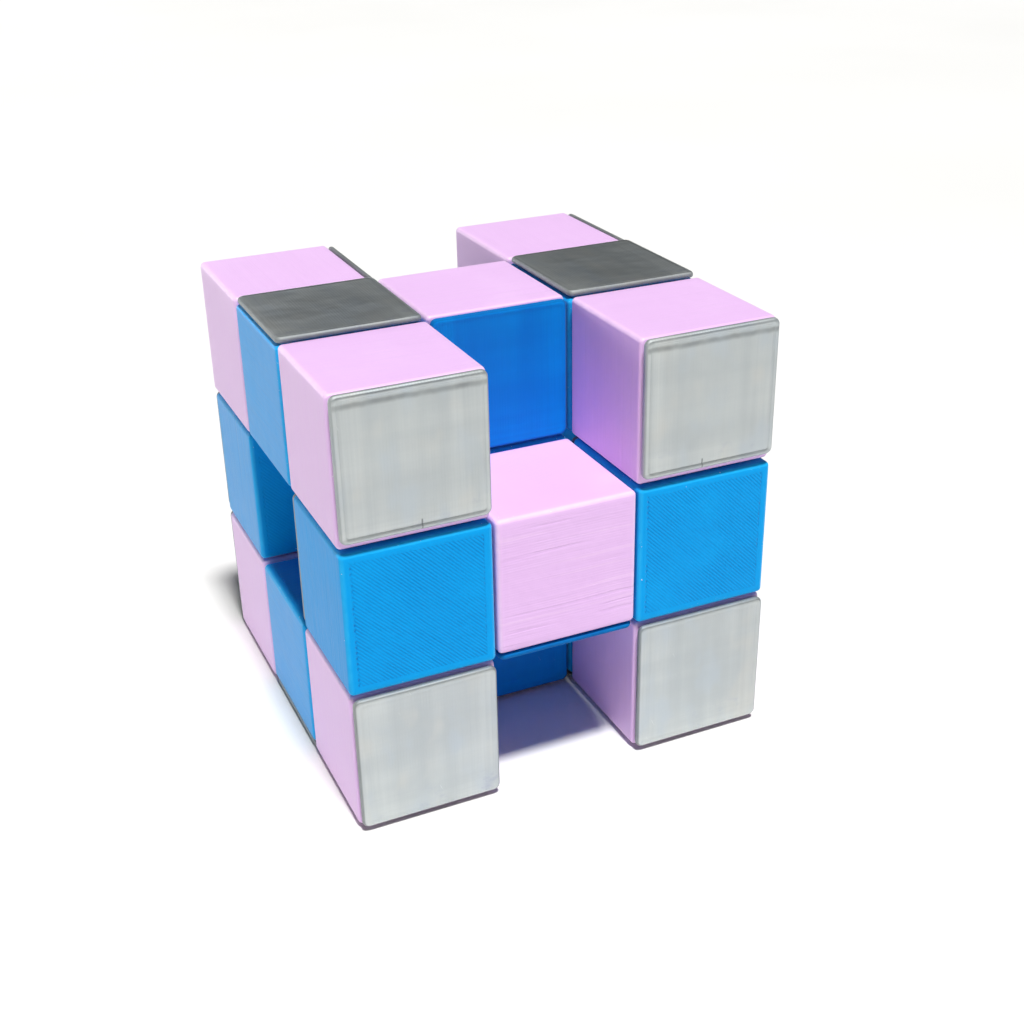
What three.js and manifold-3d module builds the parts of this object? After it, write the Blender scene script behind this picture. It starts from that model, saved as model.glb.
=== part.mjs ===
// Twisty snake puzzle folded into an open three by three by three block.
// Twenty-one hollow printed cubes form one chain. Each cube is a five-walled shell closed by a
// glued lid plate, and each pair of neighbours is joined by a snap pin through the centre of the
// two facing walls, so every joint is a swivel about the normal of the shared face.
// Millimetres. +X runs along the front, +Y to the back, +Z up.
import * as THREE from 'three';
import { ConvexGeometry } from 'three/addons/geometries/ConvexGeometry.js';
import { mergeVertices } from 'three/addons/utils/BufferGeometryUtils.js';
import Module from 'manifold-3d';

const wasm = await Module();
wasm.setup();

// Cubes
const PITCH = 22;
const GAP = 0.4;
const HALF = (PITCH - GAP) / 2;
const WALL = 1.8;
const EDGE_BEVEL = 0.5;
const RIM_BEVEL = 0.4;

// Lids: a plate glued on a rim set a little below the cube's face, and a plug that centres it
const LID_SIDE = 21.2;
const LID_CORNER = 0.9;
const LID_BEVEL = 0.3;
const LID_PLATE = 0.9;
const GLUE_LINE = 0.3;
const PLUG_SIDE = 17.2;
const PLUG_DEPTH = 1.4;
const FRONT_LID_LIFT = 0.6;
const FRONT_LID_TRIM = 0.7;
const RIM_DROP = 0.65;

// Swivel pins
const ROUND_STEPS = 16;
const HOLE_RADIUS = 3.06;
const SHAFT_RADIUS = 2.95;
const HEAD_RADIUS = 4.4;
const BARB_RADIUS = 3.7;
const TIP_RADIUS = 2.4;
const SEAT_GAP = 0.3;
const HEAD_THICK = 1.2;
const BARB_LENGTH = 1.9;
const SLOT_WIDTH = 1;

// The fold: the first cube's cell, then the step from each cube to the next
const FIRST_CELL = [0, 0, 2];
const STEPS = '+y +y -z -z +x -y -x -y +z +x +y +z +x +y -z -z -y -y +z +z'.split(' ');
const LID_SIDES = '-y +z +x +y +y +y -y -z -y +y -z +y -y +z +x +x +x -z -y +y -y'.split(' ');
const BASE_CUBE = 17;

const PINK = { color: 0xf3cdf7, roughness: 0.55, metalness: 0 };
const BLUE = { color: 0x0a84e6, roughness: 0.5, metalness: 0 };
const SILVER = { color: 0xb4b9b8, roughness: 0.35, metalness: 0.55 };
const IVORY = { color: 0xe6e2d8, roughness: 0.6, metalness: 0 };

const Z = new THREE.Vector3(0, 0, 1);

function direction(step) {
  const sign = step[0] === '+' ? 1 : -1;
  const vector = new THREE.Vector3();
  vector[step[1]] = sign;
  return vector;
}

function toward(vector) {
  return new THREE.Quaternion().setFromUnitVectors(Z, vector);
}

// Closed three.js geometry to a solid, with shared vertices merged and zero-area faces dropped
function solid(geometry) {
  const bare = geometry.clone();
  bare.deleteAttribute('normal');
  bare.deleteAttribute('uv');
  const merged = mergeVertices(bare, 1e-4);
  const index = merged.index.array;
  const triangles = [];
  for (let i = 0; i < index.length; i += 3) {
    const [a, b, c] = [index[i], index[i + 1], index[i + 2]];
    if (a !== b && b !== c && c !== a) {
      triangles.push(a, b, c);
    }
  }
  return new wasm.Manifold(new wasm.Mesh({
    numProp: 3,
    vertProperties: new Float32Array(merged.attributes.position.array),
    triVerts: new Uint32Array(triangles),
  }));
}

function geometryOf(manifold) {
  const mesh = manifold.getMesh();
  const geometry = new THREE.BufferGeometry();
  geometry.setAttribute('position', new THREE.BufferAttribute(new Float32Array(mesh.vertProperties), 3));
  geometry.setIndex(new THREE.BufferAttribute(new Uint32Array(mesh.triVerts), 1));
  geometry.computeVertexNormals();
  return geometry;
}

// Cube envelope, open end up: full bevels on the printed edges, a small one round the rim
function envelope() {
  const rim = HALF - RIM_DROP;
  const points = [];
  const soft = HALF - EDGE_BEVEL;
  const crisp = HALF - RIM_BEVEL;
  for (const x of [-1, 1]) {
    for (const y of [-1, 1]) {
      points.push(new THREE.Vector3(x * HALF, y * soft, -soft));
      points.push(new THREE.Vector3(x * soft, y * HALF, -soft));
      points.push(new THREE.Vector3(x * soft, y * soft, -HALF));
      points.push(new THREE.Vector3(x * HALF, y * soft, crisp - RIM_DROP));
      points.push(new THREE.Vector3(x * soft, y * HALF, crisp - RIM_DROP));
      points.push(new THREE.Vector3(x * crisp, y * soft, rim));
      points.push(new THREE.Vector3(x * soft, y * crisp, rim));
    }
  }
  return new ConvexGeometry(points);
}

// Body of revolution on +Z from [radius, height] pairs that start and end on the axis
function turned(profile) {
  const points = profile.map(([radius, height]) => new THREE.Vector2(radius, height));
  return new THREE.LatheGeometry(points, ROUND_STEPS).rotateX(Math.PI / 2);
}

// Swivel hardware about the shared face: z = 0 is the middle of the gap between two cubes
const WALL_INSIDE = GAP / 2 + WALL + SEAT_GAP;
const barbEnd = [
  [SHAFT_RADIUS, WALL_INSIDE],
  [BARB_RADIUS, WALL_INSIDE],
  [BARB_RADIUS, WALL_INSIDE + 0.3],
  [TIP_RADIUS, WALL_INSIDE + BARB_LENGTH],
  [0, WALL_INSIDE + BARB_LENGTH],
];

function slotted(manifold) {
  const length = WALL_INSIDE + BARB_LENGTH;
  const slot = new THREE.BoxGeometry(4 * BARB_RADIUS, SLOT_WIDTH, length);
  slot.translate(0, 0, length / 2 + GAP / 2 + WALL / 2);
  return manifold.subtract(solid(slot));
}

function pinGeometry() {
  const head = [
    [0, -WALL_INSIDE - HEAD_THICK],
    [HEAD_RADIUS, -WALL_INSIDE - HEAD_THICK],
    [HEAD_RADIUS, -WALL_INSIDE],
    [SHAFT_RADIUS, -WALL_INSIDE],
  ];
  return geometryOf(slotted(solid(turned([...head, ...barbEnd]))));
}

// The chain's two end cubes carry their swivel stub as one print with the wall it stands on
function stubSolid() {
  const root = -GAP / 2 - WALL / 2;
  return slotted(solid(turned([[0, root], [SHAFT_RADIUS, root], ...barbEnd])));
}

function shellGeometry(holes, stubs) {
  const cavitySide = 2 * (HALF - WALL);
  const cavity = new THREE.BoxGeometry(cavitySide, cavitySide, 2 * HALF);
  cavity.translate(0, 0, WALL);
  let shell = solid(envelope()).subtract(solid(cavity));
  for (const way of holes) {
    const drill = new THREE.CylinderGeometry(HOLE_RADIUS, HOLE_RADIUS, 2 * WALL, ROUND_STEPS);
    drill.rotateX(Math.PI / 2);
    drill.translate(0, 0, HALF - WALL / 2);
    drill.applyQuaternion(toward(way));
    shell = shell.subtract(solid(drill));
  }
  for (const way of stubs) {
    const turn = new THREE.Matrix4().makeRotationFromQuaternion(toward(way));
    const lift = new THREE.Matrix4().makeTranslation(0, 0, PITCH / 2);
    shell = shell.add(stubSolid().transform(turn.multiply(lift).elements));
  }
  return geometryOf(shell);
}

// Square outline with cut corners
function outline(side, height) {
  const half = side / 2;
  const short = half - LID_CORNER;
  const bulge = half - LID_CORNER * 0.3;
  const points = [];
  for (const x of [-1, 1]) {
    for (const y of [-1, 1]) {
      points.push(new THREE.Vector3(x * half, y * short, height));
      points.push(new THREE.Vector3(x * bulge, y * bulge, height));
      points.push(new THREE.Vector3(x * short, y * half, height));
    }
  }
  return points;
}

function lidGeometry(shift) {
  const bottom = HALF - RIM_DROP + GLUE_LINE;
  const plate = new ConvexGeometry([
    ...outline(LID_SIDE, bottom),
    ...outline(LID_SIDE, bottom + LID_PLATE - LID_BEVEL),
    ...outline(LID_SIDE - 2 * LID_BEVEL, bottom + LID_PLATE),
  ]);
  // a lid that sits high on its cube is also trimmed in that direction
  const trim = FRONT_LID_TRIM / FRONT_LID_LIFT / LID_SIDE;
  plate.scale(1 - trim * Math.abs(shift.x), 1 - trim * Math.abs(shift.y), 1);
  plate.translate(shift.x, shift.y, 0);
  const depth = PLUG_DEPTH + LID_PLATE / 2;
  const plug = new THREE.BoxGeometry(PLUG_SIDE, PLUG_SIDE, depth);
  plug.translate(0, 0, bottom + LID_PLATE / 2 - depth / 2);
  return geometryOf(solid(plate).add(solid(plug)));
}

function piece(name, geometry, look) {
  const mesh = new THREE.Mesh(geometry, new THREE.MeshStandardMaterial(look));
  mesh.name = name;
  return mesh;
}

const number = (index) => String(index + 1).padStart(2, '0');

// Cells of the folded chain
const cells = [new THREE.Vector3(...FIRST_CELL)];
for (const step of STEPS) {
  cells.push(cells[cells.length - 1].clone().add(direction(step)));
}
const last = cells.length - 1;

const snake = new THREE.Group();

cells.forEach((cell, index) => {
  const facing = direction(LID_SIDES[index]);
  const turn = toward(facing);
  const back = turn.clone().invert();
  const ways = [];
  if (index > 0) {
    ways.push(direction(STEPS[index - 1]).negate().applyQuaternion(back));
  }
  if (index < last) {
    ways.push(direction(STEPS[index]).applyQuaternion(back));
  }
  const isEnd = index === 0 || index === last;
  const pinkCube = (cell.x + cell.y + cell.z) % 2 === 0;
  const lifted = isEnd ? FRONT_LID_LIFT : 0;
  const shift = new THREE.Vector3(0, 0, lifted).applyQuaternion(back);
  let lidLook = SILVER;
  if (cell.x === 1) {
    lidLook = pinkCube ? BLUE : PINK;
  }
  const cube = new THREE.Group();
  cube.position.copy(cell).multiplyScalar(PITCH);
  cube.quaternion.copy(turn);
  cube.add(piece(`shell_${number(index)}`, shellGeometry(isEnd ? [] : ways, isEnd ? ways : []),
    pinkCube ? PINK : BLUE));
  cube.add(piece(`lid_${number(index)}`, lidGeometry(shift), lidLook));
  snake.add(cube);
});

// Separate pins, each with its barb in the cube farther from the base cube
for (let index = 1; index < last - 1; index += 1) {
  const outward = index < BASE_CUBE ? -1 : 1;
  const way = direction(STEPS[index]).multiplyScalar(outward);
  const pin = piece(`pin_${number(index)}_${number(index + 1)}`, pinGeometry(), IVORY);
  pin.position.addVectors(cells[index], cells[index + 1]).multiplyScalar(PITCH / 2);
  pin.quaternion.copy(toward(way));
  snake.add(pin);
}

// Origin at the middle of the bounding box's underside: lids stand proud on +X, both Y sides,
// the top and the bottom, and nothing stands proud on -X
const PROUD = GLUE_LINE + LID_PLATE - RIM_DROP;
snake.position.set(-PITCH - PROUD / 2, -PITCH, HALF + PROUD);

const object = new THREE.Group();
object.add(snake);

export default object;
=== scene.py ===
"""Looks for the folded twisty snake puzzle: printed shells, glued lids, floor, light, camera."""

import math

import bpy
import numpy as np
from mathutils import Matrix, Vector


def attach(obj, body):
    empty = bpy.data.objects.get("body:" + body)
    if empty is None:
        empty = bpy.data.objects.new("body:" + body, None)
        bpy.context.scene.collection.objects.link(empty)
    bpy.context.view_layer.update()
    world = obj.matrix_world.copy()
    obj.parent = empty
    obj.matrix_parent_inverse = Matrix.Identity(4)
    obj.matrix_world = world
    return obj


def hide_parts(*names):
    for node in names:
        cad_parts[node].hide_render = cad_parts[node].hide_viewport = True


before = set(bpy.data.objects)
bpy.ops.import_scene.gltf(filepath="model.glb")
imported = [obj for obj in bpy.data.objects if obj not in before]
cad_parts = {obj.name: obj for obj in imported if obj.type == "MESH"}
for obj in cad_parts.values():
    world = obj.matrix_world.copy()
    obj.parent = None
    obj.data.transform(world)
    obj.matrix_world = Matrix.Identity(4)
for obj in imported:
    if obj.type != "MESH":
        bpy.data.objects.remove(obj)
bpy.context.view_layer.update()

MM = 0.001

# ------------------------------------------------ the folded chain; lengths are millimetres
PITCH = 22.0
HALF = 10.8              # half a cube's width
WALL = 1.8
INSIDE = HALF - WALL     # half the cavity's width
FIRST_CELL = (0, 0, 2)
STEPS = "+y +y -z -z +x -y -x -y +z +x +y +z +x +y -z -z -y -y +z +z".split()
LID_SIDES = "-y +z +x +y +y +y -y -z -y +y -z +y -y +z +x +x +x -z -y +y -y".split()

HOLE_RADIUS = 3.06
# the end cubes' stub, from the wall outwards: radius, distance past the wall
STUB_PROFILE = ((2.95, 0.0), (2.95, 2.5), (3.7, 2.5), (3.7, 2.8), (2.4, 4.4))

LID_SIDE = 21.2
LID_CORNER = 1.0
LID_PLATE = 0.9
LID_SOFT = 0.52          # radius of the lid's outer edge
GLUE_LINE = 0.3
PLUG_SIDE = 17.2
PLUG_DEPTH = 1.4
PLUG_CORNER = 1.1
PLUG_CHAMFER = 0.4
FRONT_LID_LIFT = 0.6
FRONT_LID_TRIM = 0.7
RIM_DROP = 0.65          # a shell's open rim is this far below its cube's face
PROUD = GLUE_LINE + LID_PLATE - RIM_DROP
LID_TURN = 0.12          # the glued lids are up to this many degrees askew
END_BEAD, PLAIN_BEAD = 0.13, 0.03
# a lid's face from its rim inwards: inset, share of the bead's height below the crest
BEAD_PROFILE = ((0.62, 0.0), (0.76, 0.35), (0.88, 1.0), (1.0, 1.1), (1.25, 0.85),
                (1.8, 0.75), (3.2, 0.7), (6.0, 0.7), (8.6, 0.7))

EDGE_ROUND = 0.72
PATCH = 4.4              # half the square of a wall that is re-cut round a pivot
PATCH_LINES = (-PATCH, -2.2, 0.0, 2.2, PATCH)
FLAT_LINES = (-INSIDE, -6.7, *PATCH_LINES, 6.7, INSIDE)
RIM_FROM = 9.1           # shell vertices above this belong to the open rim
SHELL_SMOOTH = 35.0      # edges bent more than this many degrees stay sharp
LID_SMOOTH = 40.0
LINE = 0.425             # width of one printed line
LAYER = 0.4              # spacing of the fine ridges on a cube's sides

# places in the chain, counted from 0
GROOVED_CUBE = 10        # the front centre cube
RASTER_CUBES = (9, 19)   # the two blue cubes that show their closed end in front
rng = np.random.default_rng(7)


def direction(step):
    v = np.zeros(3)
    v["xyz".index(step[1])] = 1.0 if step[0] == "+" else -1.0
    return v


def side_of(vector):
    """Axis number and sign of a vector along one axis."""
    axis = int(np.argmax(np.abs(vector)))
    return axis, int(np.sign(vector[axis]))


cells = [np.array(FIRST_CELL, float)]
for step in STEPS:
    cells.append(cells[-1] + direction(step))
COUNT = len(cells)

# the block's place in the frame: middle of the box's underside at the origin
OFFSET = np.array([-PITCH - PROUD / 2, -PITCH, HALF + PROUD])


# ------------------------------------------------ mesh helpers
class Builder:
    """Vertices merged by position, faces as they come."""

    MERGE = 2000             # positions are compared to 1/2000 mm

    def __init__(self):
        self.verts, self.faces, self.keys = [], [], {}

    def vertex(self, p):
        key = tuple(int(round(c * self.MERGE)) for c in p)
        if key not in self.keys:
            self.keys[key] = len(self.verts)
            self.verts.append(tuple(float(c) for c in p))
        return self.keys[key]

    def face(self, points, flip=False):
        ids = [self.vertex(p) for p in (points[::-1] if flip else points)]
        clean = [a for i, a in enumerate(ids) if a != ids[i - 1]]
        if len(set(clean)) >= 3:
            self.faces.append(clean)

    def bridge(self, one, two, flip=False):
        """Quads between two closed rings with the same number of points."""
        for i in range(len(one)):
            j = (i + 1) % len(one)
            self.face([one[i], one[j], two[j], two[i]], flip)

    def object(self, name, seed, smooth_angle):
        me = bpy.data.meshes.new(name)
        me.from_pydata([[c * MM for c in p] for p in self.verts], [], self.faces)
        me.validate()
        me.update()
        for p in me.polygons:
            p.use_smooth = True
        me.set_sharp_from_angle(angle=math.radians(smooth_angle))
        attr = me.attributes.new("seed", "FLOAT", "POINT")
        attr.data.foreach_set("value", np.full(len(me.vertices), seed, np.float32))
        ob = bpy.data.objects.new(name, me)
        bpy.context.scene.collection.objects.link(ob)
        return ob


SIDES = [(axis, sign) for axis in range(3) for sign in (1, -1)]
LID_WALL = (2, 1)


def side_point(axis, sign, a, c, reach):
    """Point (a, c) of the plane that is `reach` from the cube's middle on that side."""
    p = np.zeros(3)
    p[axis] = sign * reach
    p[(axis + 1) % 3] = a
    p[(axis + 2) % 3] = c
    return p


def rounded(p):
    """A point of the cube's surface moved onto the same cube with rounded edges."""
    core = np.clip(p, -(HALF - EDGE_ROUND), HALF - EDGE_ROUND)
    away = p - core
    length = np.linalg.norm(away)
    return core + away / length * EDGE_ROUND if length > 1e-9 else p


def outer_lines(steps=4):
    """Grid lines across a cube's face, closer together round the edges."""
    start = HALF - EDGE_ROUND
    bend = [start + EDGE_ROUND * math.tan(math.radians(45 * k / steps)) for k in range(steps + 1)]
    return [-b for b in reversed(bend)] + list(FLAT_LINES) + bend


def grid_cells(lines):
    """Corners and middle of each cell between the lines."""
    for a0, a1 in zip(lines, lines[1:]):
        for c0, c1 in zip(lines, lines[1:]):
            yield ((a0, c0), (a1, c0), (a1, c1), (a0, c1)), max(abs(a0 + a1), abs(c0 + c1)) / 2


def patch_loop(axis, sign, depth):
    """Points round the centre square of a wall, in order."""
    ends, back = PATCH_LINES[:-1], PATCH_LINES[:0:-1]
    pts = [(a, -PATCH) for a in ends] + [(PATCH, c) for c in ends]
    pts += [(a, PATCH) for a in back] + [(-PATCH, c) for c in back]
    return [side_point(axis, sign, a, c, depth) for a, c in pts]


def circle_in(square, axis, sign, depth, radius):
    """Circle at that depth, one point for each point round the square."""
    out = []
    for p in square:
        t = math.atan2(p[(axis + 2) % 3], p[(axis + 1) % 3])
        out.append(side_point(axis, sign, radius * math.cos(t), radius * math.sin(t), depth))
    return out


def outside(b, joints):
    """A shell's rounded outside, open at the lid and in the middle of each joint wall."""
    for axis, sign in SIDES:
        for corners, out in grid_cells(outer_lines()):
            open_end = (axis, sign) == LID_WALL and out < INSIDE
            if open_end or ((axis, sign) in joints and out < PATCH):
                continue
            points = [rounded(side_point(axis, sign, a, c, HALF)) for a, c in corners]
            b.face(points, sign < 0)


def cavity(b, holes):
    """The inside of a shell's closed end and four walls, and the walls' last strip to the rim."""
    for axis, sign in SIDES:
        if (axis, sign) == LID_WALL:
            continue
        for corners, out in grid_cells(FLAT_LINES):
            if (axis, sign) in holes and out < PATCH:
                continue
            b.face([side_point(axis, sign, a, c, INSIDE) for a, c in corners], sign > 0)
        if axis == 2:
            continue
        for a0, a1 in zip(FLAT_LINES, FLAT_LINES[1:]):
            strip = []
            for a, z in ((a0, INSIDE), (a1, INSIDE), (a1, HALF), (a0, HALF)):
                p = np.zeros(3)
                p[axis], p[1 - axis], p[2] = sign * INSIDE, a, z
                strip.append(p)
            b.face(strip, (sign > 0) != (axis == 1))


def hole_rings(axis, sign):
    """From the square left open outside, through the wall, to the square left open inside."""
    outer, inner = patch_loop(axis, sign, HALF), patch_loop(axis, sign, INSIDE)
    return [outer, circle_in(outer, axis, sign, HALF, HOLE_RADIUS),
            circle_in(inner, axis, sign, INSIDE, HOLE_RADIUS), inner]


def stub_rings(axis, sign):
    """From the square left open outside, along the shaft and the barb, to the stub's tip."""
    outer = patch_loop(axis, sign, HALF)
    return [outer] + [circle_in(outer, axis, sign, HALF + past, radius)
                      for radius, past in STUB_PROFILE]


def shell_mesh(name, seed, ways, stub):
    """Five-walled rounded box, open at +Z, with a pivot hole or stub in each joint wall."""
    b = Builder()
    joints = [side_of(way) for way in ways]
    outside(b, joints)
    cavity(b, [] if stub else joints)
    for axis, sign in joints:
        rings = stub_rings(axis, sign) if stub else hole_rings(axis, sign)
        for low, high in zip(rings, rings[1:]):
            b.bridge(low, high, sign < 0)
        if stub:
            b.face(rings[-1], sign < 0)
    b.verts = [(x, y, z - RIM_DROP if z > RIM_FROM else z) for x, y, z in b.verts]
    return b.object(name, seed, SHELL_SMOOTH)


def square_ring(side, corner, z, shift=(0.0, 0.0), per_corner=6, per_side=6):
    """Rounded square, anticlockwise from above."""
    core = side / 2 - corner
    middles = ((1, 1), (-1, 1), (-1, -1), (1, -1))
    out = []
    for k, (sx, sy) in enumerate(middles):
        start = k * math.pi / 2
        for i in range(per_corner + 1):
            t = start + math.pi / 2 * i / per_corner
            out.append((sx * core + corner * math.cos(t), sy * core + corner * math.sin(t)))
        nx, ny = middles[(k + 1) % 4]
        end = start + math.pi / 2
        turn = np.array([corner * math.cos(end), corner * math.sin(end)])
        p0, p1 = np.array([sx, sy]) * core + turn, np.array([nx, ny]) * core + turn
        out += [tuple(p0 + (p1 - p0) * i / per_side) for i in range(1, per_side)]
    return [np.array([x + shift[0], y + shift[1], z]) for x, y in out]


LID_BASE = HALF - RIM_DROP + GLUE_LINE
LID_TOP = LID_BASE + LID_PLATE


def plug_rings():
    """The plug that centres a lid in its shell, from its end up to the plate."""
    end = LID_BASE - PLUG_DEPTH
    return [square_ring(PLUG_SIDE - 2 * PLUG_CHAMFER, 0.8, end),
            square_ring(PLUG_SIDE, PLUG_CORNER, end + PLUG_CHAMFER),
            square_ring(PLUG_SIDE, PLUG_CORNER, LID_BASE)]


def plate_rings(shift, bead):
    """A lid's plate from its underside, round its soft edge, to the middle of its face."""
    rings = [square_ring(LID_SIDE - 0.4, LID_CORNER - 0.15, LID_BASE, shift),
             square_ring(LID_SIDE - 0.1, LID_CORNER - 0.05, LID_BASE + 0.1, shift),
             square_ring(LID_SIDE, LID_CORNER, LID_BASE + 0.25, shift)]
    steps = 5
    for k in range(1, steps + 1):
        t = math.pi / 2 * k / steps
        inset = LID_SOFT * (1 - math.cos(t))
        height = LID_TOP - LID_SOFT + LID_SOFT * math.sin(t)
        rings.append(square_ring(LID_SIDE - 2 * inset, LID_CORNER - inset * 0.6, height, shift))
    for inset, depth in BEAD_PROFILE:
        corner = max(LID_CORNER - inset * 0.6, 0.3)
        rings.append(square_ring(LID_SIDE - 2 * inset, corner, LID_TOP - bead * depth, shift))
    return rings


def lid_mesh(name, seed, shift, tilt, bead):
    """Lid plate a little askew on its plug; a shifted lid is also a little shorter."""
    b = Builder()
    plug, plate = plug_rings(), plate_rings(shift, bead)
    turn = Matrix.Rotation(math.radians(tilt), 3, "Z")
    squeeze = 1 - FRONT_LID_TRIM / LID_SIDE if shift[1] else 1.0
    for ring in plate:
        for i, p in enumerate(ring):
            p[1] = shift[1] + (p[1] - shift[1]) * squeeze
            ring[i] = np.array(turn @ Vector(p))
    rings = plug + plate
    for low, high in zip(rings, rings[1:]):
        b.bridge(low, high)
    b.face(rings[0], flip=True)
    b.face(rings[-1])
    return b.object(name, seed, LID_SMOOTH)


# ------------------------------------------------ node trees written as expressions
class Wire:
    """A node's output that can be used in arithmetic; each operation adds a Math node."""

    def __init__(self, graph, socket):
        self.graph, self.socket = graph, socket

    def __add__(self, other):
        return self.graph.math("ADD", self, other)

    def __sub__(self, other):
        return self.graph.math("SUBTRACT", self, other)

    def __rsub__(self, other):
        return self.graph.math("SUBTRACT", other, self)

    def __mul__(self, other):
        return self.graph.math("MULTIPLY", self, other)

    def __pow__(self, other):
        return self.graph.math("POWER", self, other)

    def __abs__(self):
        return self.graph.math("ABSOLUTE", self)

    __radd__, __rmul__ = __add__, __mul__


class Graph:
    """The node tree of a material or of the world."""

    def __init__(self, owner):
        owner.use_nodes = True
        self.owner, self.tree = owner, owner.node_tree
        self.tree.nodes.clear()

    def node(self, kind, **settings):
        n = self.tree.nodes.new(kind)
        for key, value in settings.items():
            setattr(n, key, value)
        return n

    def put(self, value, socket):
        if isinstance(value, Wire):
            self.tree.links.new(value.socket, socket)
        elif socket.type == "RGBA":
            socket.default_value = (*value, 1.0)
        else:
            socket.default_value = value

    def filled(self, n, inputs, output=0):
        """The output of a node once the numbered or named inputs are set."""
        for key, value in inputs.items():
            self.put(value, n.inputs[key])
        return Wire(self, n.outputs[output])

    def split(self, vector):
        n = self.node("ShaderNodeSeparateXYZ")
        self.put(vector, n.inputs[0])
        return [Wire(self, socket) for socket in n.outputs]

    def join(self, x, y, z):
        return self.filled(self.node("ShaderNodeCombineXYZ"), {0: x, 1: y, 2: z})

    def math(self, operation, *values, clamp=False):
        n = self.node("ShaderNodeMath", operation=operation, use_clamp=clamp)
        return self.filled(n, dict(enumerate(values)))

    def larger(self, a, b):
        return self.math("MAXIMUM", a, b)

    def smaller(self, a, b):
        return self.math("MINIMUM", a, b)

    def step(self, value, low, high):
        """Smooth step from 0 at low to 1 at high."""
        n = self.node("ShaderNodeMapRange", interpolation_type="SMOOTHSTEP")
        start, end = (0.0, 1.0) if low < high else (1.0, 0.0)
        limits = {"From Min": min(low, high), "From Max": max(low, high)}
        return self.filled(n, {"Value": value, **limits, "To Min": start, "To Max": end}, "Result")

    def blend(self, amount, a, b):
        """Number a where amount is 0, b where it is 1."""
        return self.filled(self.node("ShaderNodeMix", data_type="FLOAT"), {0: amount, 2: a, 3: b})

    def colour(self, amount, a, b):
        """Colour a where amount is 0, b where it is 1."""
        return self.filled(self.node("ShaderNodeMix", data_type="RGBA"), {0: amount, 6: a, 7: b}, 2)


class Surface(Graph):
    """A material; positions are millimetres in the piece's own axes."""

    def __init__(self, name):
        super().__init__(bpy.data.materials.new(name))
        coords = self.node("ShaderNodeTexCoord")
        scale = self.node("ShaderNodeVectorMath", operation="SCALE")
        place = Wire(self, coords.outputs["Object"])
        self.x, self.y, self.z = self.split(self.filled(scale, {0: place, "Scale": 1 / MM}))
        self.nx, self.ny, self.nz = self.split(Wire(self, coords.outputs["Normal"]))
        seed = self.node("ShaderNodeAttribute", attribute_name="seed")
        self.seed = Wire(self, seed.outputs["Fac"])

    def noise(self, x, y, z, detail, rough=0.5):
        """Noise at a point, different for each piece."""
        n = self.node("ShaderNodeTexNoise", noise_dimensions="4D")
        return self.filled(n, {"Vector": self.join(x, y, z), "W": self.seed * 61.0, "Scale": 1.0,
                               "Detail": detail, "Roughness": rough})

    def grain(self, sx, sy, sz, detail, rough=0.5):
        """Noise over the surface with that many features to the millimetre along each axis."""
        return self.noise(self.x * sx, self.y * sy, self.z * sz, detail, rough)

    def wave(self, value, period):
        """Ridges from 0 to 1."""
        return self.math("SINE", value * (2 * math.pi / period)) * 0.5 + 0.5

    def bump(self, height, depth_mm, under=None):
        inputs = {"Strength": 1.0, "Distance": depth_mm * MM, "Height": height}
        if under is not None:
            inputs["Normal"] = under
        return self.filled(self.node("ShaderNodeBump"), inputs)

    def finish(self, **sockets):
        named = {key.replace("_", " "): value for key, value in sockets.items()}
        surface = self.filled(self.node("ShaderNodeBsdfPrincipled"), named)
        self.put(surface, self.node("ShaderNodeOutputMaterial").inputs["Surface"])
        return self.owner


# ------------------------------------------------ materials
WHITE_SPECK = (0.95, 0.94, 0.96)
SCRATCH = (0.93, 0.94, 0.93)
WARM_SILVER = (0.60, 0.595, 0.56)
COOL_SILVER = (0.49, 0.545, 0.59)
# what is left of a lid's deep colour in the bluish patches towards its foot, in the dark lines
# (painted shade lines, and the seam tick) and in the painted shade on its rim
FOOT_PATCH = (0.78, 0.78, 0.95)
DARK_LINE = (0.35, 0.35, 0.35)
RIM_SHADE = (0.3, 0.3, 0.3)


def times(colour, factors):
    return tuple(c * f for c, f in zip(colour, factors))


def layer_lines(g, groove):
    """A cube's four sides, stacked along Z: fine lines, uneven bands, ridges and a few grooves,
    with the painted shade of the grooves and valleys.
    """
    level = g.z + (g.grain(0.1, 0.1, 0.05, 1.0) * 0.8 - 0.4)
    layer = g.noise(g.x * 0.04, g.y * 0.04, level * 2.6, 2.5, 0.65)
    course = g.noise(g.x * 0.035, g.y * 0.035, level * 1.5, 1.0, 0.4)
    ridge = g.step(course, 0.42, 0.33) * (0.7 * groove ** 2)
    cut = g.step(course, 0.58, 0.68) * g.step(g.grain(0.12, 0.12, 0.09, 1.0), 0.42, 0.6)
    height = g.wave(g.z, LAYER) * 0.1 + layer * 0.75 - cut * groove
    low = cut * (0.35 * groove) + (0.55 - layer) * 0.5
    return layer, ridge, height, low


def raster_rows(g):
    """Diagonal rows of printed lines: their valleys, which get painted shade, and their height."""
    across = (g.y - g.x) * math.sqrt(0.5)
    along = (g.y + g.x) * math.sqrt(0.5)
    wander = g.noise(across * 0.5, along * 0.12, g.z, 1.0) * 0.22 - 0.11
    rows = g.wave(across + wander, LINE) ** 0.55
    uneven = g.noise(across * 2.3, along * 0.16, 0.0, 2.0, 0.6)
    broken = g.step(g.noise(across * 1.6, along * 0.22, 3.0, 1.0), 0.3, 0.7)
    patch = g.step(g.grain(0.13, 0.13, 0.16, 2.0), 0.38, 0.62)
    valley = (1.0 - rows) * (patch * 0.25 + (broken * 0.2 + 0.4))
    return valley, uneven * 0.5 - valley


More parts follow.
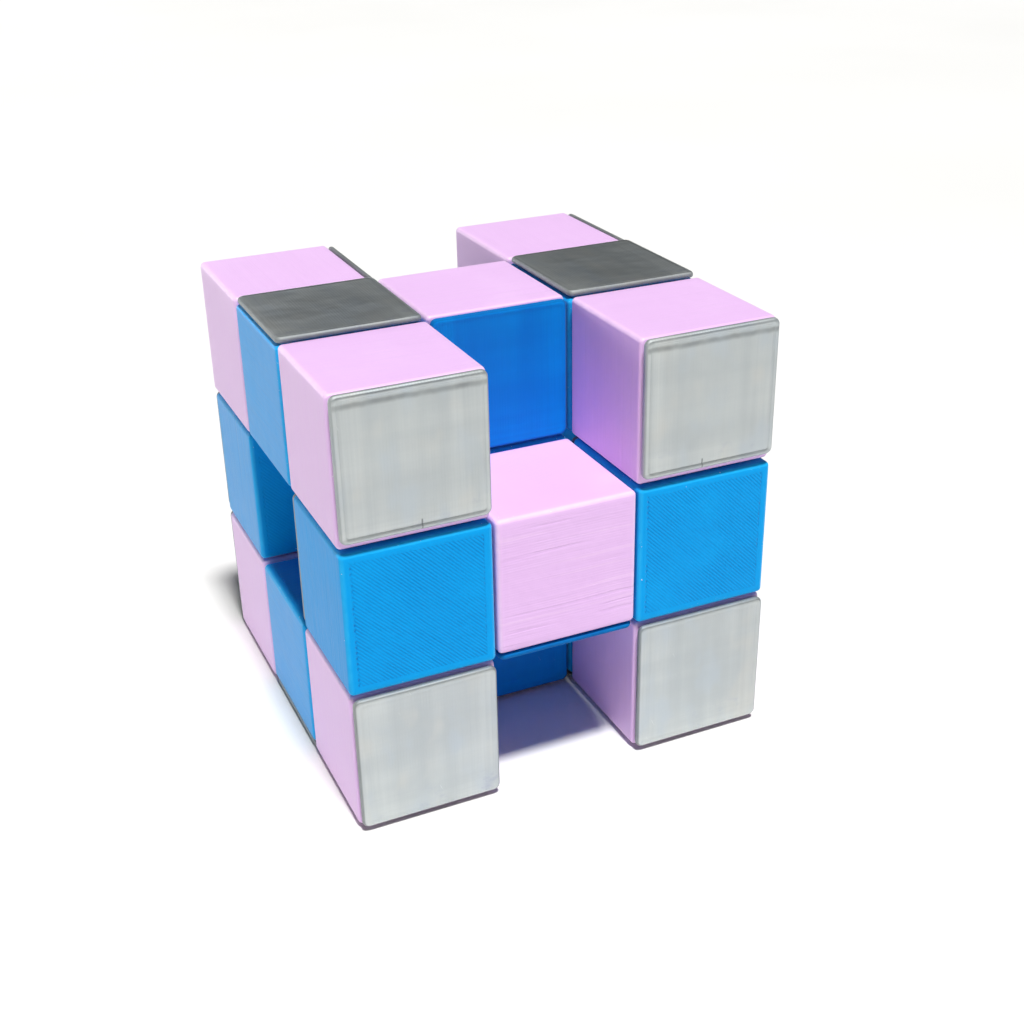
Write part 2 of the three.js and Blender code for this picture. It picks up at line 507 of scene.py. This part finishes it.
def turning_pits(g, inset):
    """Pits where the raster turns against the innermost perimeter, mostly left and right."""
    band = g.step(inset, 1.16, 1.3) * g.step(inset, 1.62, 1.46)
    beads = g.step(g.wave(g.x, 2 * LINE), 0.35, 0.8) * g.step(g.wave(g.y, 2 * LINE), 0.35, 0.8)
    sideways = g.step(abs(g.x) - abs(g.y), -0.5, 0.5)
    pits = band * (beads * 0.75 + 0.25) * (sideways * 0.7 + 0.3)
    return pits * g.step(g.grain(0.5, 0.5, 0.5, 1.0), 0.3, 0.55)


def closed_end(g, raster):
    """A cube's closed end: perimeter lines round it, and the raster inside them, with painted shade
    in the raster's valleys and pits.
    """
    inset = HALF - g.larger(abs(g.x), abs(g.y))
    rings = g.step(inset, 1.5, 1.32)
    ring_height = g.wave(inset, LINE) * 0.16 + 0.1
    valley, raster_height = raster_rows(g)
    pits = turning_pits(g, inset)
    height = g.blend(rings, raster_height, ring_height) - pits * 1.1
    low = valley * (1.0 - rings) * 0.62 + pits * 0.65
    return height * raster, low * raster


def distance_from_edge(g):
    """How far a point of a cube's surface is from the nearest of the cube's edges."""
    ax, ay, az = abs(g.x), abs(g.y), abs(g.z)
    largest = g.larger(g.larger(ax, ay), az)
    smallest = g.smaller(g.smaller(ax, ay), az)
    return HALF - (ax + ay + az - (largest + smallest))


def printed_shell(name, tones, raster, rough, groove, shine, sheen):
    """Printed cube: layers and closed end, with cooling variation, painted shade in the valleys, a
    painted highlight along the edges, and near-white specks.
    """
    g = Surface(name)
    base, deep, bright, edge_tone = tones
    end = g.step(abs(g.nz), 0.72, 0.92)
    layer, ridge, side_height, side_shade = layer_lines(g, groove)
    end_height, end_shade = closed_end(g, raster)

    # painted shade: the deep colour goes into the valleys, grooves and pits
    low = g.math("MULTIPLY", g.blend(end, side_shade, end_shade), 1.0, clamp=True)
    broad = g.grain(0.11, 0.11, 0.07, 3.0, 0.55)
    shade = g.colour(low, base, deep)
    shade = g.colour(g.step(broad, 0.46, 0.74) * 0.45, shade, bright)
    from_edge = distance_from_edge(g)
    # painted highlight: the edge colour in a patchy band along the cube's edges
    edge_highlight = g.step(from_edge, 0.75, 0.3) * (g.grain(0.6, 0.6, 0.6, 2.0) * 0.8 + 0.1)
    shade = g.colour(edge_highlight, shade, edge_tone)
    shade = g.colour(ridge * (1.0 - end), shade, edge_tone)
    # near-white specks near the edges
    speck = g.step(g.grain(2.6, 2.6, 2.6, 1.0), 0.74, 0.78) * g.step(from_edge, 1.3, 0.7)
    shade = g.colour(speck * 0.8, shade, WHITE_SPECK)

    gloss = layer * 0.1 + (broad * 0.16 + (rough - 0.08))
    normal = g.bump(g.blend(end, side_height, end_height), 0.07)
    normal = g.bump(g.grain(0.22, 0.22, 0.3, 2.0), 0.1, normal)
    return g.finish(Base_Color=shade, Roughness=gloss, Normal=normal, IOR=1.47,
                    Specular_IOR_Level=shine, Sheen_Weight=sheen, Sheen_Roughness=0.35)


def shade_lines_and_tick(g, cloud):
    """Dark lines of the two upper front lids: the seam tick, painted shade under the bead inside
    the top and left edges, and a faint dark line inside the foot.
    """
    seam_at = g.seed * 5.0 - 2.5
    tick = g.step(abs(g.x - seam_at), 0.16, 0.06)
    tick = tick * (g.step(g.y, -7.9, -8.2) * g.step(g.y, -9.7, -9.4))
    wobble = g.noise(g.x * 0.5, 0.0, 7.0, 2.0) * 0.5 - 0.25
    from_top = LID_SIDE / 2 - g.y + wobble
    top_line = g.step(from_top, 0.75, 1.15) * g.step(from_top, 1.95, 1.3)
    top_line = top_line * (g.grain(0.35, 0.1, 0.1, 2.0) * 0.7 + 0.15)
    from_left = g.x + LID_SIDE / 2
    side_line = g.step(from_left, 0.75, 0.95) * (g.step(from_left, 1.35, 1.1) * 0.1)
    from_foot = g.y + LID_SIDE / 2
    foot_line = g.step(from_foot, 1.2, 1.45) * (g.step(from_foot, 2.0, 1.7) * (cloud * 0.5))
    return top_line, side_line, foot_line, tick * 0.8


def printed_lid(name, tones, metal, rough, shade_lined=False):
    """Thin printed plate: soft streaks across and along it, bluish darker patches towards its foot,
    painted shade lines and painted shade on its rim, scratches.
    """
    g = Surface(name)
    base, deep, bright = tones
    inset = LID_SIDE / 2 - g.larger(abs(g.x), abs(g.y))
    face = g.step(g.nz, 0.8, 0.97)
    column = g.grain(2.4, 0.05, 0.4, 2.5, 0.6)
    row = g.grain(0.05, 2.2, 0.4, 2.0, 0.6)
    cloud = g.grain(0.13, 0.13, 0.13, 3.0, 0.55)
    near_side = g.step(abs(g.x), 4.0, 9.0)
    near_foot = g.step(g.y, -4.5, -9.2)
    streaks = column * (near_side * 0.6 + 0.35) + row * (near_foot * 0.45 + 0.25)
    wide = g.grain(0.42, 0.035, 0.1, 1.0) * 0.55 + g.grain(0.03, 0.3, 0.1, 1.0) * 0.45
    shade = g.colour(g.step(streaks * 0.55 + wide, 0.45, 1.25), deep, bright)
    shade = g.colour(g.step(cloud, 0.45, 0.75) * 0.5, shade, base)
    if metal:
        patchy = g.noise(g.x * 0.2, g.y * 0.12, 5.0, 2.0)
        shade = g.colour(g.step(patchy, 0.54, 0.72) * 0.4, shade, WARM_SILVER)
        shade = g.colour(g.step(patchy, 0.5, 0.32) * 0.6, shade, COOL_SILVER)
    # bluish darker patches towards the foot
    foot_patch = g.step(g.grain(0.32, 0.5, 0.3, 4.0, 0.7), 0.52, 0.7) * near_foot
    shade = g.colour(foot_patch * 0.5, shade, times(deep, FOOT_PATCH))

    # painted shade: a faint dark line in the valley inside the outermost printed line, and on two
    # lids the shade lines and the seam tick
    rim_line = g.step(inset, 0.72, 0.88) * g.step(inset, 1.25, 1.02)
    dark = rim_line * (g.step(cloud, 0.42, 0.62) * 0.08)
    for line in shade_lines_and_tick(g, cloud) if shade_lined else ():
        dark = g.larger(dark, line)
    shade = g.colour(dark * face, shade, times(deep, DARK_LINE))
    # painted shade: the rim is darker than the face, less so on the two shade-lined lids
    shade = g.colour((1.0 - face) * (0.15 if shade_lined else 0.42), shade, times(deep, RIM_SHADE))
    hair = g.noise((g.x + g.y * 0.45) * 7.0, g.y * 0.35, 2.0, 1.0)
    scratch = g.step(hair, 0.765, 0.79) * g.step(g.grain(0.3, 0.3, 0.3, 1.0), 0.5, 0.62)
    shade = g.colour(scratch * 0.5, shade, SCRATCH)

    gloss = cloud * 0.12 + (streaks * 0.16 + (rough - 0.06)) + (1.0 - face) * 0.3
    rim_layers = g.grain(0.05, 0.05, 5.5, 2.0, 0.6) * (1.0 - face)
    height = streaks + cloud * 0.8 + g.wave(g.x, LINE) * 0.16 + rim_layers * 0.9
    normal = g.bump(height, 0.035)
    normal = g.bump(g.grain(0.17, 0.17, 0.17, 2.0), 0.16, normal)
    plastic = {"Specular_IOR_Level": 0.12, "Sheen_Weight": 0.15, "Sheen_Roughness": 0.35}
    return g.finish(Base_Color=shade, Metallic=metal, Roughness=gloss, Normal=normal,
                    **({} if metal else plastic))


def pin_plastic():
    g = Surface("pin_natural_white")
    rings = g.grain(0.3, 0.3, 4.0, 2.0, 0.6)
    shade = g.colour(g.step(rings, 0.3, 0.8), (0.62, 0.60, 0.53), (0.82, 0.80, 0.74))
    return g.finish(Base_Color=shade, Roughness=rings * 0.2 + 0.42, Normal=g.bump(rings, 0.04))


# tones: usual colour, the deep one (a lid's darker streaks, painted shade in a shell's valleys),
# where it is brightest, and for shells the edges' painted highlight, also on the lighter ridges
PINK_TONES = ((0.84, 0.53, 0.91), (0.71, 0.41, 0.80), (0.88, 0.585, 0.94), (0.97, 0.70, 0.97))
BLUE_TONES = ((0.0, 0.365, 0.87), (0.0, 0.155, 0.55), (0.0, 0.41, 0.94), (0.03, 0.52, 0.96))
SILVER_TONES = ((0.555, 0.59, 0.59), (0.465, 0.50, 0.512), (0.625, 0.655, 0.65))
# the blue lids sit at the back of the two recesses: their blue is darker than the shells' blue,
# painted shade
BLUE_LID_SHADE_TONES = ((0.0, 0.235, 0.72), (0.0, 0.19, 0.64), (0.0, 0.28, 0.78))
PINK_LID_TONES = ((0.80, 0.53, 0.87), (0.70, 0.43, 0.78), (0.86, 0.60, 0.91))

PINK = printed_shell("pink_plastic", PINK_TONES, raster=0.3, rough=0.46, groove=0.22,
                     shine=1.0, sheen=0.35)
PINK_GROOVED = printed_shell("pink_plastic_grooved", PINK_TONES, raster=0.3, rough=0.46,
                             groove=0.6, shine=0.8, sheen=0.3)
BLUE = printed_shell("blue_plastic", BLUE_TONES, raster=0.4, rough=0.40, groove=0.25,
                     shine=0.14, sheen=0.3)
BLUE_RASTER = printed_shell("blue_plastic_raster", BLUE_TONES, raster=1.0, rough=0.40,
                            groove=0.25, shine=0.08, sheen=0.2)
SILVER = printed_lid("silver_silk_plastic", SILVER_TONES, metal=0.96, rough=0.30)
SILVER_SHADE_LINED = printed_lid("silver_silk_plastic_shade_lined", SILVER_TONES, metal=0.96, rough=0.30,
                            shade_lined=True)
BLUE_LID_SHADED = printed_lid("blue_lid_plastic_shaded", BLUE_LID_SHADE_TONES, metal=0.0, rough=0.44)
PINK_LID = printed_lid("pink_lid_plastic", PINK_LID_TONES, metal=0.0, rough=0.48)
PIN = pin_plastic()


# ------------------------------------------------ the twenty-one cubes
def cube_axes(lid_side):
    """Cube axes as columns: Z out through the lid, Y up the lid (to the back on a level lid)."""
    z = direction(lid_side)
    y = np.array([0.0, 0.0, 1.0]) if z[2] == 0 else np.array([0.0, 1.0, 0.0])
    return np.column_stack([np.cross(y, z), y, z])


def shell_look(i, pink):
    if pink:
        return (PINK_GROOVED if i == GROOVED_CUBE else PINK), "pink_shell"
    return (BLUE_RASTER if i in RASTER_CUBES else BLUE), "blue_shell"


def lid_look(cell, pink, is_end):
    """Silver in the outer columns; the other cube colour in the middle one, the blue painted darker
    as shade.
    """
    if cell[0] == 1:
        return (BLUE_LID_SHADED, "blue_lid") if pink else (PINK_LID, "pink_lid")
    return (SILVER_SHADE_LINED if is_end else SILVER), "silver_lid"


for i, cell in enumerate(cells):
    tag = f"{i + 1:02d}"
    axes = cube_axes(LID_SIDES[i])
    ways = []
    if i > 0:
        ways.append(axes.T @ -direction(STEPS[i - 1]))
    if i < COUNT - 1:
        ways.append(axes.T @ direction(STEPS[i]))
    is_end = i in (0, COUNT - 1)
    pink = int(cell.sum()) % 2 == 0
    seed = float(rng.random())
    tilt = float(rng.uniform(-LID_TURN, LID_TURN))
    shift = (axes.T @ np.array([0.0, 0.0, FRONT_LID_LIFT if is_end else 0.0]))[:2]
    shell = shell_mesh(f"cube_shell_{tag}", seed, ways, is_end)
    lid = lid_mesh(f"cube_lid_{tag}", seed, shift, tilt, END_BEAD if is_end else PLAIN_BEAD)
    centre = (cell * PITCH + OFFSET) * MM
    place = Matrix.Translation(Vector(centre)) @ Matrix(axes.tolist()).to_4x4()
    for piece, node, (material, slot) in ((shell, f"shell_{tag}", shell_look(i, pink)),
                                          (lid, f"lid_{tag}", lid_look(cell, pink, is_end))):
        piece.data.materials.append(material)
        piece.matrix_world = place
        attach(piece, f"cube_{tag}")
        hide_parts(node)

for name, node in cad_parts.items():
    if name.startswith("pin_"):
        node.data.materials.clear()
        node.data.materials.append(PIN)


# ------------------------------------------------ floor, light, camera
FLOOR_RADIUS = 4.0


def disc(name, radius, rings, sectors):
    """Flat disc whose rings are closer together near the middle."""
    angles = [2 * math.pi * s / sectors for s in range(sectors)]
    verts, faces = [(0.0, 0.0, 0.0)], []
    for k in range(1, rings + 1):
        r = radius * (k / rings) ** 2
        verts += [(r * math.cos(t), r * math.sin(t), 0.0) for t in angles]
    for s in range(sectors):
        following = (s + 1) % sectors
        faces.append((0, 1 + s, 1 + following))
        for k in range(rings - 1):
            a, b = 1 + k * sectors, 1 + (k + 1) * sectors
            faces.append((a + s, b + s, b + following, a + following))
    me = bpy.data.meshes.new(name)
    me.from_pydata(verts, [], faces)
    ob = bpy.data.objects.new(name, me)
    bpy.context.scene.collection.objects.link(ob)
    return ob


def floor_look():
    g = Surface("pale_floor")
    soft = g.grain(0.004, 0.004, 0.004, 3.0)
    shade = g.colour(g.step(soft, 0.3, 0.7), (0.855, 0.85, 0.84), (0.88, 0.875, 0.87))
    return g.finish(Base_Color=shade, Roughness=soft * 0.1 + 0.55,
                    Normal=g.bump(g.grain(0.4, 0.4, 0.4, 2.0), 0.01))


floor = disc("floor", FLOOR_RADIUS, 24, 64)
floor.data.materials.append(floor_look())

# one soft light, high in front of the block
KEY_POWER = 3.85
KEY_WIDTH = 7.0          # degrees across, seen from the block
KEY_COLOUR = (1.0, 0.995, 0.98)
KEY_TOWARDS = (0.0, 0.305, -1.0)
key_data = bpy.data.lights.new("key", "SUN")
key_data.energy = KEY_POWER
key_data.angle = math.radians(KEY_WIDTH)
key_data.color = KEY_COLOUR
key = bpy.data.objects.new("key", key_data)
key.rotation_mode = "QUATERNION"
key.rotation_quaternion = Vector(KEY_TOWARDS).to_track_quat("-Z", "Y")
key.location = (0.05, -0.1, 0.5)
bpy.context.scene.collection.objects.link(key)

# white surroundings up to a low horizon, brighter at the back left, under a dark ceiling
CEILING, CEILING_TINT = 0.055, (0.90, 1.0, 1.04)
HORIZON, HORIZON_TINT = 0.62, (0.985, 0.99, 1.0)
BACK_LEFT, BACK_LEFT_WAY = 2.7, (-0.55, 0.835, 0.0)
studio = bpy.data.worlds.new("studio")
bpy.context.scene.world = studio
sky = Graph(studio)
where = Wire(sky, sky.node("ShaderNodeTexCoord").outputs["Generated"])
band = sky.step(sky.split(where)[2], 0.25, 0.13)
dot = sky.node("ShaderNodeVectorMath", operation="DOT_PRODUCT")
towards = sky.filled(dot, {0: where, 1: BACK_LEFT_WAY}, "Value")
level = band * (sky.step(towards, 0.5, 0.95) * BACK_LEFT + HORIZON) + CEILING
tint = sky.colour(band, CEILING_TINT, HORIZON_TINT)
light = sky.filled(sky.node("ShaderNodeBackground"), {"Color": tint, "Strength": level})
sky.put(light, sky.node("ShaderNodeOutputWorld").inputs["Surface"])

# the viewpoint, fitted to the photo in cube widths from the block's lower front left corner
EYE = np.array([-2.0461, -7.1171, 5.8841])
RIGHT = Vector((0.90977, -0.41466, -0.01945))
AHEAD = Vector((0.36407, 0.81955, -0.44246))
UNIT = (2 * PITCH + 2 * HALF) / 3
FOCAL, SENSOR = 49.8, 36.0
eye = (EYE * UNIT + OFFSET - HALF) * MM
ahead = AHEAD.normalized()
up = RIGHT.normalized().cross(ahead).normalized()
right = ahead.cross(up).normalized()
lens = bpy.data.cameras.new("camera")
lens.sensor_width = SENSOR
lens.lens = FOCAL
lens.clip_start, lens.clip_end = 0.01, 20.0
camera = bpy.data.objects.new("camera", lens)
pose = Matrix((right, up, -ahead)).transposed().to_4x4()
pose.translation = Vector(eye)
camera.matrix_world = pose
bpy.context.scene.collection.objects.link(camera)
bpy.context.scene.camera = camera
bpy.context.scene.view_settings.view_transform = "Standard"
